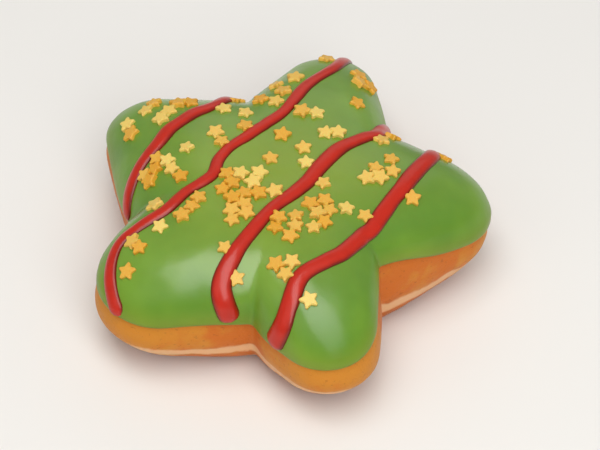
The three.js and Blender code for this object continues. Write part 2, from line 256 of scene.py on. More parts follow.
@dataclass(frozen=True)
class Finish:
    """A procedural finish: paint() says how its colour varies, and its grains vary gloss and relief."""

    name: str = "finish"
    roughness: float = 0.5
    coat: float = 0.0
    coat_roughness: float = 0.2
    scatter: float = 0.0
    scatter_reach: float = 2.0
    gloss: float = 0.5
    rubbing: Grain | None = None
    relief: tuple[Grain, ...] = ()
    relief_depth: float = 0.0
    relief_strength: float = 0.5

    def material(self) -> bpy.types.Material:
        """Makes the material.

        Returns:
            The material, with its surface painted and embossed.
        """
        made = bpy.data.materials.new(self.name)
        made.use_nodes = True
        graph = Graph(made.node_tree)
        sockets = made.node_tree.nodes["Principled BSDF"].inputs
        sockets["Roughness"].default_value = self.roughness
        sockets["Specular IOR Level"].default_value = self.gloss
        sockets["Coat Weight"].default_value = self.coat
        sockets["Coat Roughness"].default_value = self.coat_roughness
        sockets["Subsurface Weight"].default_value = self.scatter
        sockets["Subsurface Scale"].default_value = self.scatter_reach * MM
        place = graph.node("ShaderNodeTexCoord", output="Object")
        self.paint(graph, place, sockets)
        if self.rubbing:
            graph.feed(sockets["Roughness"], self.roughness + self.swing(graph, place, self.rubbing))
        if self.relief:
            graph.feed(sockets["Normal"], self.emboss(graph, place))
        return made

    def paint(self, graph: Graph, place: Wire, sockets: bpy.types.NodeInputs) -> None:
        """Feeds what varies over the surface, apart from gloss and relief.

        Args:
            graph: The material's nodes.
            place: The place on the piece, in metres.
            sockets: The shader's sockets.
        """
        raise NotImplementedError

    def emboss(self, graph: Graph, place: Wire) -> Wire:
        """Turns the grains of the relief into a normal.

        Args:
            graph: The material's nodes.
            place: The place on the piece, in metres.

        Returns:
            The normal.
        """
        height = sum(self.speckle(graph, place, grain) * grain.strength for grain in self.relief)
        inputs = {"Height": height, "Distance": self.relief_depth * MM, "Strength": self.relief_strength}
        return graph.node("ShaderNodeBump", None, inputs)

    @classmethod
    def swing(cls, graph: Graph, place: Wire, grain: Grain) -> Wire:
        """Noise that swings to both sides of 0, the grain's strength wide in all."""
        return (cls.speckle(graph, place, grain) - 0.5) * grain.strength

    @staticmethod
    def speckle(graph: Graph, place: Wire, grain: Grain) -> Wire:
        """Noise from 0 to 1, whatever the grain's strength."""
        inputs = {"Vector": place, "Scale": 1 / (grain.width * MM), "Detail": grain.detail}
        return graph.node("ShaderNodeTexNoise", None, inputs, "Fac")

    @staticmethod
    def held(graph: Graph, name: str) -> Wire:
        """A number that the mesh holds under that name."""
        return graph.node("ShaderNodeAttribute", {"attribute_name": name}, None, "Fac")


@dataclass(frozen=True)
class Crust(Finish):
    """Fried crust: golden and amber mottling, with painted light at the tips and painted shade in the
    notches, and browner below the pale line.
    """

    name: str = "fried_crust"
    roughness: float = 0.52
    scatter: float = 0.12
    gloss: float = 0.3
    golden: str = "#D08524"
    amber: str = "#CC6C1A"
    pale: str = "#EDC090"
    brown: str = "#A4571C"
    freckle: str = "#8E4816"
    mottle: Grain = Grain(7.0, 4.0)
    upper_mottling: Band = (0.38, 0.66)
    lower_mottling: Band = (0.3, 0.7)
    # Painted light and shade: between these reaches the mottling is pushed towards amber in the notches and
    # towards golden at the tips.
    notch_reach: float = 42.0
    tip_reach: float = 55.0
    notch_shade_strength: float = 0.35
    base_height: float = 4.0
    ring_height: float = 9.5
    ring_half: float = 1.0
    ring_soft: float = 1.1
    ring_share: float = 0.8
    wander: tuple[Grain, ...] = (Grain(16.0, strength=5.0), Grain(3.5, strength=2.0))
    freckles: Grain = Grain(0.9, 3.0, 0.4)
    freckling: Band = (0.6, 0.74)
    rubbing: Grain | None = Grain(7.0, 4.0, 0.25)
    relief: tuple[Grain, ...] = (Grain(0.55, 5.0, 0.5), Grain(1.8, 3.0))
    relief_depth: float = 0.22
    relief_strength: float = 0.7

    def paint(self, graph: Graph, place: Wire, sockets: bpy.types.NodeInputs) -> None:
        """Bands by height, wandering a little, with mottling and freckles, and painted light and shade:
        more golden at the tips, more amber in the notches.

        Args:
            graph: The material's nodes.
            place: The place on the piece, in metres.
            sockets: The shader's sockets.
        """
        height = graph.node("ShaderNodeSeparateXYZ", None, {"Vector": place}, "Z") * (1 / MM)
        level = height + sum(self.swing(graph, place, grain) for grain in self.wander)
        reach = graph.length(graph.vector("MULTIPLY", place, (1.0, 1.0, 0.0))) * (1 / MM)
        # Painted shade in the notches and painted light at the tips, pushing the mottling towards amber or
        # golden.
        painted_notch_shade = (0.5 - graph.ease(reach, self.notch_reach, self.tip_reach)) * self.notch_shade_strength
        mottle = self.speckle(graph, place, self.mottle)
        upper = graph.mix(graph.ease(mottle + painted_notch_shade, *self.upper_mottling), self.golden, self.amber)
        lower = graph.mix(graph.ease(mottle, *self.lower_mottling), self.amber, self.brown)
        body = graph.mix(graph.ease(level, self.base_height, self.ring_height), lower, upper)
        off_ring = abs(level - self.ring_height)
        ring = 1 - graph.ease(off_ring, self.ring_half, self.ring_half + self.ring_soft)
        banded = graph.mix(ring * self.ring_share, body, self.pale)
        freckles = graph.ease(self.speckle(graph, place, self.freckles), *self.freckling) * (1 - ring)
        freckled = graph.mix(freckles * self.freckles.strength, banded, self.freckle)
        graph.feed(sockets["Base Color"], freckled)


@dataclass(frozen=True)
class SetIcing(Finish):
    """Set sugar icing: glossy above and duller down the sides, yellower on top and where it is thin."""

    name: str = "green_icing"
    roughness: float = 0.36
    coat: float = 1.0
    coat_roughness: float = 0.22
    scatter: float = 0.15
    gloss: float = 0.18
    body: str = "#5F8A28"
    light: str = "#739A30"
    crown: str = "#8A9C2A"
    edge: str = "#85902A"
    cloud: Grain = Grain(22.0, 3.0)
    clouding: Band = (0.35, 0.68)
    crown_reach: float = 0.8
    crown_share: float = 0.7
    thinning: Band = (0.2, 1.0)
    edge_share: float = 0.75
    dulling: Band = (0.68, 0.95)
    least_coat: float = 0.15
    rubbing: Grain | None = Grain(9.0, strength=0.16)
    relief: tuple[Grain, ...] = (Grain(5.0), Grain(0.8, strength=0.12))
    relief_depth: float = 0.3

    def paint(self, graph: Graph, place: Wire, sockets: bpy.types.NodeInputs) -> None:
        """Soft clouds of lighter and deeper green, and a coat that fades down the sides.

        Args:
            graph: The material's nodes.
            place: The place on the piece, in metres.
            sockets: The shader's sockets.
        """
        clouds = graph.ease(self.speckle(graph, place, self.cloud), *self.clouding)
        way_down = self.held(graph, "way_down")
        on_top = (1 - graph.ease(way_down, 0.0, self.crown_reach)) * self.crown_share
        crowned = graph.mix(on_top, graph.mix(clouds, self.body, self.light), self.crown)
        thin = graph.ease(self.held(graph, "thinness"), *self.thinning) * self.edge_share
        graph.feed(sockets["Base Color"], graph.mix(thin, crowned, self.edge))
        dull = graph.ease(way_down, *self.dulling)
        graph.feed(sockets["Coat Weight"], (1 - dull * (1 - self.least_coat)) * self.coat)


@dataclass(frozen=True)
class PipedIcing(Finish):
    """Glossy drizzle, painted lighter along its crest as a painted highlight and darker down its sides as
    painted shade.
    """

    name: str = "red_drizzle"
    roughness: float = 0.32
    coat: float = 0.3
    coat_roughness: float = 0.15
    scatter: float = 0.08
    gloss: float = 0.3
    # Painted light and shade: the first red is painted on the crest as a painted highlight, the second down
    # the sides as painted shade.
    lit_crest: str = "#BE2410"
    side: str = "#701408"
    crest_lighting: Band = (0.2, 0.95)
    streak: Grain = Grain(4.0, strength=0.5)
    rubbing: Grain | None = Grain(6.0, strength=0.12)
    relief: tuple[Grain, ...] = (Grain(2.2),)
    relief_depth: float = 0.15

    def paint(self, graph: Graph, place: Wire, sockets: bpy.types.NodeInputs) -> None:
        """Painted lighter where the mesh's crest value is high and darker where it is low, as painted
        highlight and shade, with streaks.

        Args:
            graph: The material's nodes.
            place: The place on the piece, in metres.
            sockets: The shader's sockets.
        """
        # Painted highlight along the crest and painted shade down the sides.
        lit_crest = graph.ease(self.held(graph, "lit_crest"), *self.crest_lighting)
        share = lit_crest + self.swing(graph, place, self.streak)
        graph.feed(sockets["Base Color"], graph.mix(share, self.side, self.lit_crest))


@dataclass(frozen=True)
class PressedSugar(Finish):
    """Pressed sugar stars, each a little paler or more golden than the next."""

    name: str = "gold_sugar"
    roughness: float = 0.5
    scatter: float = 0.2
    golden: str = "#DFA027"
    pale: str = "#ECCD6C"
    tinting: Grain = Grain(0.35, strength=0.5)
    rubbing: Grain | None = Grain(0.35, strength=0.3)
    relief: tuple[Grain, ...] = (Grain(0.35),)
    relief_depth: float = 0.12
    relief_strength: float = 0.6

    def paint(self, graph: Graph, place: Wire, sockets: bpy.types.NodeInputs) -> None:
        """A tint for each star, with a fine grain.

        Args:
            graph: The material's nodes.
            place: The place on the piece, in metres.
            sockets: The shader's sockets.
        """
        share = self.held(graph, "tint") + self.swing(graph, place, self.tinting)
        graph.feed(sockets["Base Color"], graph.mix(share, self.golden, self.pale))


@dataclass(frozen=True)
class MattFloor(Finish):
    """A pale matt surface with the faintest unevenness."""

    name: str = "pale_floor"
    roughness: float = 0.85
    pale: str = "#EFEDE9"
    shade: str = "#E9E6E1"
    cloud: Grain = Grain(300.0)

    def paint(self, graph: Graph, place: Wire, sockets: bpy.types.NodeInputs) -> None:
        """Two near whites in broad clouds.

        Args:
            graph: The material's nodes.
            place: The place on the piece, in metres.
            sockets: The shader's sockets.
        """
        clouds = self.speckle(graph, place, self.cloud)
        graph.feed(sockets["Base Color"], graph.mix(clouds, self.pale, self.shade))


# ---------------------------------------------------------------- the form of the star


@dataclass(frozen=True)
class Lobe:
    """A lobe: its direction in degrees, its reach, its tip's radius and where the icing ends on it."""

    angle: float
    reach: float
    tip_radius: float
    icing_edge: float


@dataclass(frozen=True)
class Notch:
    """A notch: its direction in degrees, its distance from the middle and where the icing ends in it."""

    angle: float
    reach: float
    icing_edge: float


@dataclass(frozen=True)
class Flank:
    """Half a lobe, from its tip to the notch on one side of it."""

    lobe: Lobe
    notch: Notch
    side: int
    span: float

    def from_tip(self, angles: np.ndarray) -> np.ndarray:
        """How far each direction lies from the tip, going towards this flank's notch."""
        return np.mod(self.side * (angles - math.radians(self.lobe.angle)), TURN)

    def radius(self, from_tip: np.ndarray, bulge: float) -> np.ndarray:
        """Distance from the middle to the outline: a round tip, then a slightly bowed flank.

        Args:
            from_tip: Angles from the tip, in radians.
            bulge: How far the flank bows out.

        Returns:
            One distance for each angle.
        """
        tip = self.lobe.tip_radius
        centre = self.lobe.reach - tip
        notch = self.notch.reach * np.array([math.cos(self.span), math.sin(self.span)])
        to_notch = notch - (centre, 0)
        leave = math.atan2(to_notch[1], to_notch[0]) - math.acos(min(tip / math.hypot(*to_notch), 1))
        tangent = np.array([centre + tip * math.cos(leave), tip * math.sin(leave)])
        tangent_angle = math.atan2(tangent[1], tangent[0])
        across = np.minimum(centre * np.sin(from_tip), tip)
        round_tip = centre * np.cos(from_tip) + np.sqrt(tip**2 - across**2)
        line = notch - tangent
        cross = np.cos(from_tip) * line[1] - np.sin(from_tip) * line[0]
        along = (from_tip - tangent_angle) / (self.span - tangent_angle)
        past_tip = from_tip > tangent_angle
        straight = (tangent[0] * line[1] - tangent[1] * line[0]) / np.where(past_tip, cross, 1)
        return np.where(past_tip, straight + bulge * np.sin(math.pi * along), round_tip)


@dataclass(frozen=True)
class StarForm:
    """The plan and upright section of the dough, about the middle of the star."""

    lobes: tuple[Lobe, ...] = (
        Lobe(19.3, 52.5, 14, 0.905),
        Lobe(89, 60, 12, 0.83),
        Lobe(154, 57.7, 10.5, 0.85),
        Lobe(229, 54, 16.5, 0.82),
        Lobe(300.4, 53.5, 12.6, 0.835),
    )
    notches: tuple[Notch, ...] = (
        Notch(-28.5, 32.5, 0.675),
        Notch(52.5, 35.5, 0.74),
        Notch(120, 37, 0.75),
        Notch(202, 37.6, 0.84),
        Notch(272, 35.2, 0.85),
    )
    flank_bulge: float = 1.0
    widest_height: float = 14.5
    crown_rise: float = 19.5
    base_drop: float = 17.5
    upper_fullness: float = 3.8
    lower_fullness: float = 3.0
    crown_radius: float = 46.0
    crease_fade: float = 1.6
    crease_rounding: float = 0.0
    rounding_samples: int = 9

    def flanks(self) -> list[Flank]:
        """Halves every lobe.

        Returns:
            The ten flanks, anticlockwise from the first notch.
        """
        made = []
        for lobe, before, after in zip(self.lobes, self.notches, self.notches[1:] + self.notches[:1]):
            wrap = 0 if after.angle > lobe.angle else 360
            made.append(Flank(lobe, before, -1, math.radians(lobe.angle - before.angle)))
            made.append(Flank(lobe, after, 1, math.radians(after.angle + wrap - lobe.angle)))
        return made

    def by_flank(
        self, angles: np.ndarray, measure: Callable[[Flank, np.ndarray], np.ndarray]
    ) -> np.ndarray:
        """Measures something flank by flank.

        Args:
            angles: Directions in radians.
            measure: Takes a flank and angles from its tip, and gives one number for each.

        Returns:
            One number for each direction.
        """
        numbers = np.zeros(len(angles))
        for flank in self.flanks():
            from_tip = flank.from_tip(angles)
            here = from_tip <= flank.span + TINY
            numbers[here] = measure(flank, from_tip[here])
        return numbers

    def sharp_outline(self, angles: np.ndarray) -> np.ndarray:
        """Distance from the middle to the widest line, with sharp creases in the notches."""
        return self.by_flank(angles, lambda flank, from_tip: flank.radius(from_tip, self.flank_bulge))

    def outline(self, angles: np.ndarray) -> np.ndarray:
        """Distance from the middle to the widest line, its creases rounded as asked.

        Args:
            angles: Directions in radians.

        Returns:
            One distance for each direction.
        """
        if not self.crease_rounding:
            return self.sharp_outline(angles)
        shifts = np.linspace(-1, 1, self.rounding_samples + 2)[1:-1]
        weights = np.cos(shifts * math.pi / 2) ** 2
        turns = shifts * math.radians(self.crease_rounding)
        total = sum(weight * self.sharp_outline(angles + turn) for weight, turn in zip(weights, turns))
        return total / weights.sum()

    def section(self, angles: np.ndarray, shares: np.ndarray, upper: bool) -> tuple[np.ndarray, np.ndarray]:
        """Radius and height of the upper or the lower surface.

        Args:
            angles: Directions in radians.
            shares: Shares of the way from the middle to the widest line.
            upper: Whether the upper surface is meant.

        Returns:
            Radii and heights.
        """
        spread = np.sin(shares * math.pi / 2)
        sharp = spread**self.crease_fade
        radii = spread * (self.crown_radius * (1 - sharp) + self.outline(angles) * sharp)
        fullness = self.upper_fullness if upper else self.lower_fullness
        rise = np.sqrt(np.maximum(1 - spread**fullness, 0))
        if upper:
            return radii, self.widest_height + self.crown_rise * rise
        return radii, np.maximum(self.widest_height - self.base_drop * rise, 0)

    def upper(self, angles: np.ndarray, shares: np.ndarray, offset: np.ndarray | float = 0.0) -> np.ndarray:
        """Points of the upper surface, moved outwards in their own upright planes.

        Args:
            angles: Directions in radians.
            shares: Shares of the way from the crown to the widest line.
            offset: How far outwards.

        Returns:
            One row of X, Y and Z for each.
        """
        radii, heights = self.section(angles, shares, True)
        inner_radii, inner_heights = self.section(angles, np.maximum(shares - SLOPE_STEP, 0), True)
        outer_radii, outer_heights = self.section(angles, np.minimum(shares + SLOPE_STEP, 1), True)
        run, fall = outer_radii - inner_radii, outer_heights - inner_heights
        length = np.hypot(run, fall)
        radii = radii - offset * fall / length
        heights = heights + offset * run / length
        return np.stack([radii * np.cos(angles), radii * np.sin(angles), heights], 1)

    def lower(self, angles: np.ndarray, shares: np.ndarray) -> np.ndarray:
        """Points of the underside, one row of X, Y and Z for each."""
        radii, heights = self.section(angles, shares, False)
        return np.stack([radii * np.cos(angles), radii * np.sin(angles), heights], 1)

    def flat_share(self) -> float:
        """Share of the way out at which the rounded underside meets the flat of the base."""
        spread = (1 - (self.widest_height / self.base_drop) ** 2) ** (1 / self.lower_fullness)
        return math.asin(spread) * 2 / math.pi

    def directions(self, steps: int) -> np.ndarray:
        """Directions all round, with one at each tip and notch.

        Args:
            steps: How many steps each flank has.

        Returns:
            Directions in radians.
        """
        starts = []
        for flank in self.flanks():
            start = flank.lobe.angle if flank.side > 0 else flank.notch.angle
            starts.append(math.radians(start) + flank.span * np.arange(steps) / steps)
        return np.concatenate(starts)


@dataclass(frozen=True)
class IcingForm:
    """The icing's place on the dough, and where it ends."""

    form: StarForm
    thickness: float = 1.6
    gap: float = 0.45
    edge_power: float = 1.5
    waves: tuple[tuple[int, float, float], ...] = ((7, 0.016, 4.57), (13, 0.005, 2.2))
    lip: float = 0.042

    @property
    def outside(self) -> float:
        """Height of the icing's outer face above the dough."""
        return self.gap + self.thickness

    def edge_on(self, flank: Flank, from_tip: np.ndarray) -> np.ndarray:
        """Share of the way down at which the icing ends on one flank, without its waves."""
        rise = ((1 - np.cos(math.pi * from_tip / flank.span)) / 2) ** self.edge_power
        return flank.lobe.icing_edge + (flank.notch.icing_edge - flank.lobe.icing_edge) * rise

    def edge_share(self, angles: np.ndarray) -> np.ndarray:
        """Finds where the icing ends.

        Args:
            angles: Directions in radians.

        Returns:
            The share of the way down at which it ends, for each direction.
        """
        shares = self.form.by_flank(angles, self.edge_on)
        for count, height, phase in self.waves:
            shares = shares + height * np.sin(count * angles + phase)
        return shares

    def points(self, places: np.ndarray) -> np.ndarray:
        """Points of the icing's outer face, in millimetres, for places on the disc."""
        angles = np.arctan2(places[:, 1], places[:, 0])
        return self.form.upper(angles, np.hypot(places[:, 0], places[:, 1]), self.outside)

    def normals(self, places: np.ndarray) -> np.ndarray:
        """Finds the ways out of the icing.

        Args:
            places: One row of u and w for each.

        Returns:
            One row of length 1 for each place.
        """
        east, north = np.array([SLOPE_STEP, 0]), np.array([0, SLOPE_STEP])
        eastwards = self.points(places + east) - self.points(places - east)
        northwards = self.points(places + north) - self.points(places - north)
        out = np.cross(eastwards, northwards)
        return out / np.linalg.norm(out, axis=1)[:, None]


# ---------------------------------------------------------------- making meshes


def skin(name: str, first: Vector, rings: list[np.ndarray], last: Vector) -> bpy.types.Object:
    """Joins rings of points into one closed skin, drawn to a point at each end.

    Args:
        name: The piece's name.
        first: The point that closes the first ring, in metres.
        rings: Rings of equal length, from the first end to the last, in metres.
        last: The point that closes the last ring.

    Returns:
        The new object, smooth shaded.
    """
    count = len(rings[0])
    points = [tuple(first), *map(tuple, np.concatenate(rings)), tuple(last)]
    columns = np.arange(count)
    following = (columns + 1) % count
    faces = [(0, 1 + here, 1 + there) for here, there in zip(columns, following)]
    for ring in range(len(rings) - 1):
        top, below = 1 + ring * count, 1 + (ring + 1) * count
        quads = np.stack([top + columns, below + columns, below + following, top + following], 1)
        faces += quads.tolist()
    end = 1 + (len(rings) - 1) * count
    faces += [(len(points) - 1, end + there, end + here) for here, there in zip(columns, following)]
    mesh = bpy.data.meshes.new(name)
    mesh.from_pydata(points, [], faces)
    mesh.shade_smooth()
    made = bpy.data.objects.new(name, mesh)
    bpy.context.scene.collection.objects.link(made)
    return made


def hold(mesh: bpy.types.Mesh, name: str, values: np.ndarray, kind: str = "FLOAT") -> None:
    """Stores one number or vector for each point of a mesh.

    Args:
        mesh: The mesh.
        name: The name to store them under.
        values: One number or one row of three for each point.
        kind: FLOAT for numbers or FLOAT_VECTOR for rows.
    """
    attribute = mesh.attributes.new(name, kind, "POINT")
    field = "vector" if kind == "FLOAT_VECTOR" else "value"
    attribute.data.foreach_set(field, np.asarray(values, np.float32).ravel())


class Grower:
    """A Geometry Nodes tree with named inputs, and the run that turns it into a plain mesh."""

    def __init__(self, name: str) -> None:
        """Makes an empty tree that takes geometry.

        Args:
            name: The tree's name.
        """
        self.tree = bpy.data.node_groups.new(name, "GeometryNodeTree")
        self.graph = Graph(self.tree)
        self.tree.interface.new_socket("Geometry", in_out="OUTPUT", socket_type="NodeSocketGeometry")
        self.entry = self.tree.nodes.new("NodeGroupInput")
        self.exit = self.tree.nodes.new("NodeGroupOutput")
        self.values: dict[str, object] = {}
        self.source = self.take("Geometry", "NodeSocketGeometry")

    def take(self, name: str, kind: str, value: object = None) -> Wire:
        """Adds a named input.

        Args:
            name: The input's name.
            kind: Its socket type.
            value: What the modifier passes in.

        Returns:
            The input as a wire.
        """
        self.tree.interface.new_socket(name, in_out="INPUT", socket_type=kind)
        if value is not None:
            self.values[name] = value
        return Wire(self.graph, self.entry.outputs[name])

    def size(self, name: str, millimetres: float) -> Wire:
        """A named length, passed in as metres."""
        return self.take(name, "NodeSocketFloat", millimetres * MM)

    def number(self, name: str, value: float) -> Wire:
        """A named plain number."""
        return self.take(name, "NodeSocketFloat", value)

    def held(self, name: str, kind: str = "FLOAT") -> Wire:
        """What the incoming mesh holds under a name."""
        return self.graph.node("GeometryNodeInputNamedAttribute", {"data_type": kind}, {"Name": name})

    def run(self, source: bpy.types.Object, geometry: Wire, finish: bpy.types.Material) -> bpy.types.Object:
        """Ends the tree, runs it on an object and keeps the result as that object's mesh.

        Args:
            source: The object whose mesh goes in, and which takes what comes out.
            geometry: The last geometry of the tree.
            finish: The material of all of it.

        Returns:
            The source object.
        """
        material = self.take("Finish", "NodeSocketMaterial", finish)
        real = self.graph.node("GeometryNodeRealizeInstances", None, {"Geometry": geometry})
        painted = self.graph.node("GeometryNodeSetMaterial", None, {"Geometry": real, "Material": material})
        self.graph.feed(self.exit.inputs["Geometry"], painted)
        modifier = source.modifiers.new(self.tree.name, "NODES")
        modifier.node_group = self.tree
        for item in self.tree.interface.items_tree:
            if item.in_out == "INPUT" and item.name in self.values:
                modifier[item.identifier] = self.values[item.name]
        depsgraph = bpy.context.evaluated_depsgraph_get()
        ready = source.evaluated_get(depsgraph)
        mesh = bpy.data.meshes.new_from_object(ready, preserve_all_data_layers=True, depsgraph=depsgraph)
        source.modifiers.remove(modifier)
        source.data = mesh
        mesh.name = source.name
        return source


@dataclass(frozen=True)
class Unevenness:
    """One scale of unevenness: how high its bumps are, how wide, how flat and how detailed."""

    name: str
    height: float
    width: float
    flatness: float = 1.0
    detail: float = 1.5


def roughen(source: bpy.types.Object, layers: tuple[Unevenness, ...], finish: Finish) -> bpy.types.Object:
    """Raises and sinks a surface along its normals, as far as the mesh's own relief value lets it.

    Args:
        source: The object to roughen, whose mesh holds a number named relief.
        layers: The scales of unevenness, added together.
        finish: Its finish.

    Returns:
        The same object, with its new mesh and material.
    """
    grower = Grower(f"{source.name}_relief")
    graph = grower.graph
    place = graph.node("GeometryNodeInputPosition")
    push: Number = 0.0
    for number, layer in enumerate(layers):
        height = grower.size(f"{layer.name} height", layer.height)
        width = grower.size(f"{layer.name} width", layer.width)
        flattened = graph.vector("MULTIPLY", place, (1.0, 1.0, layer.flatness))
        apart = graph.vector("ADD", graph.scaled(flattened, 1 / width), (LAYERS_APART * number,) * 3)
        inputs = {"Vector": apart, "Scale": 1.0, "Detail": layer.detail}
        bumps = graph.node("ShaderNodeTexNoise", None, inputs)
        push = (bumps - 0.5) * 2.0 * height + push
    offset = graph.scaled(graph.node("GeometryNodeInputNormal"), push * grower.held("relief"))
    moved = graph.node("GeometryNodeSetPosition", None, {"Geometry": grower.source, "Offset": offset})
    return grower.run(source, moved, finish.material())


# ---------------------------------------------------------------- the pieces


@dataclass
class Dough:
    """The fried dough, whose upper part is hidden by the icing."""

    form: StarForm
    icing: IcingForm
    centre: Vector
    finish: Finish = Crust()
    steps: int = 60
    hidden_rows: int = 12
    side_rows: int = 30
    under_rows: int = 44
    base_rows: int = 8
    tuck: float = 0.06
    waist_depth: float = 0.35
    waist_height: float = 9.5
    waist_half: float = 2.2
    layers: tuple[Unevenness, ...] = (
        Unevenness("swell", 0.55, 24.0),
        Unevenness("dimple", 0.16, 7.0),
        Unevenness("wrinkle", 0.07, 1.8, 2.2),
    )

    def build(self) -> bpy.types.Object:
        """Makes the dough.

        Returns:
            The finished piece.
        """
        angles = self.form.directions(self.steps)
        edge = self.icing.edge_share(angles) - self.tuck
        count = len(angles)
        rings, relief = [], []
        for row in range(1, self.hidden_rows + 1):
            rings.append(self.form.upper(angles, edge * row / self.hidden_rows))
            relief.append(np.full(count, row / self.hidden_rows))
        for row in range(1, self.side_rows + 1):
            share = row / self.side_rows
            rings.append(self.form.upper(angles, edge + (1 - edge) * share))
            relief.append(np.ones(count))
        flat = self.form.flat_share()
        for row in range(1, self.under_rows + 1):
            share = row / self.under_rows
            rings.append(self.form.lower(angles, np.full(count, 1 + (flat - 1) * share)))
            relief.append(np.full(count, math.sqrt(math.cos(share * math.pi / 2))))
        for row in range(1, self.base_rows):
            rings.append(self.form.lower(angles, np.full(count, flat * (1 - row / self.base_rows))))
            relief.append(np.zeros(count))
        points = [self.placed(self.waisted(ring)) for ring in rings]
        crown = Vector((*self.centre.xy, self.form.widest_height + self.form.crown_rise)) * MM
        made = skin("fried_dough", crown, points, Vector((*self.centre.xy, 0)) * MM)
        hold(made.data, "relief", np.concatenate([[0], *relief, [0]]))
        piece = roughen(made, self.layers, self.finish)
        self.settle(piece.data)
        return piece

    def waisted(self, ring: np.ndarray) -> np.ndarray:
        """Draws the dough in slightly along the pale line round its middle.

        Args:
            ring: One row of X, Y and Z for each point.

        Returns:
            The points drawn in.
        """
        off = (ring[:, 2] - self.waist_height) / self.waist_half
        draw = self.waist_depth * np.exp(-(off**2))
        radii = np.hypot(ring[:, 0], ring[:, 1])
        return ring * np.stack([1 - draw / radii, 1 - draw / radii, np.ones(len(ring))], 1)

    def placed(self, ring: np.ndarray) -> np.ndarray:
        """Moves points from the star's own middle to the frame, in metres."""
        return (ring + np.array([*self.centre.xy, 0])) * MM

    @staticmethod
    def settle(mesh: bpy.types.Mesh) -> None:
        """Lets nothing sink below the table."""
        for vertex in mesh.vertices:
            vertex.co.z = max(vertex.co.z, 0.0)


@dataclass
class IcingCoat:
    """The green icing, from the crown down to its rounded edge."""

    icing: IcingForm
    centre: Vector
    finish: Finish = SetIcing()
    steps: int = 60
    rows: int = 84
    lip_rows: int = 9
    inner_rows: int = 12
    sunk: float = 0.15
    bead: float = 0.25
    bead_width: float = 0.03
    thinning: float = 0.75
    thin_from: float = 0.14
    edge_thinness: float = 0.6
    layers: tuple[Unevenness, ...] = (
        Unevenness("swell", 0.4, 26.0),
        Unevenness("ripple", 0.1, 8.0),
    )

    def build(self) -> bpy.types.Object:
        """Makes the icing.

        Returns:
            The finished piece.
        """
        form, icing = self.icing.form, self.icing
        angles = form.directions(self.steps)
        edge = icing.edge_share(angles)
        rings, thinness = [], []
        for row in range(1, self.rows + 1):
            shares = edge * row / self.rows
            left = edge - shares
            thin = np.maximum(1 - left / self.thin_from, 0)
            bead = self.bead * np.exp(-((left / self.bead_width) ** 2))
            rings.append(form.upper(angles, shares, icing.outside - self.thinning * thin**2 + bead))
            thinness.append(thin * self.edge_thinness)
        full = icing.outside - self.thinning + self.bead
        for row in range(1, self.lip_rows + 1):
            turn = math.pi * row / self.lip_rows
            offset = full + (-self.sunk - full) * (1 - math.cos(turn)) / 2
            rings.append(form.upper(angles, edge + icing.lip * math.sin(turn), offset))
            thin = self.edge_thinness + (1 - self.edge_thinness) * row / self.lip_rows
            thinness.append(np.full(len(angles), thin))
        for row in range(1, self.inner_rows):
            rings.append(form.upper(angles, edge * (1 - row / self.inner_rows), -self.sunk))
            thinness.append(np.ones(len(angles)))
        shift = np.array([*self.centre.xy, 0])
        points = [(ring + shift) * MM for ring in rings]
        top = form.widest_height + form.crown_rise
        crown = Vector((*self.centre.xy, top + icing.outside)) * MM
        made = skin("green_icing", crown, points, Vector((*self.centre.xy, top - self.sunk)) * MM)
        hold(made.data, "thinness", np.concatenate([[0], *thinness, [1]]))
        row_of_point = np.ceil(np.arange(len(made.data.vertices)) / len(angles))
        hold(made.data, "way_down", np.minimum(row_of_point / self.rows, 1))
        hold(made.data, "relief", np.where(row_of_point <= self.rows, 1.0, 0.0))
        return roughen(made, self.layers, self.finish)


class IcingSurface:
    """The finished icing as a surface to set things on."""

    REACH = 5.0

    def __init__(self, icing: IcingForm, centre: Vector, piece: bpy.types.Object) -> None:
        """Holds the icing's form and a search tree over its mesh.

        Args:
            icing: The icing's form.
            centre: The star's own middle, in millimetres.
            piece: The finished icing.
        """
        self.icing = icing
        self.centre = centre
        self.tree = BVHTree.FromObject(piece, bpy.context.evaluated_depsgraph_get())

    def find(self, places: np.ndarray) -> tuple[list[Vector], list[Vector]]:
        """Finds the icing's face at places on the disc.

        Args:
            places: One row of u and w for each.

        Returns:
            The points in metres, and the ways out of the surface.
        """
        ways = [Vector(way) for way in self.icing.normals(places)]
        points = []
        for guess, way in zip(self.icing.points(places), ways):
            expected = (Vector(guess) + self.centre) * MM
            start = expected + way * self.REACH * MM
            point, _, _, _ = self.tree.ray_cast(start, -way, 2 * self.REACH * MM)
            points.append(point or expected)
        return points, ways


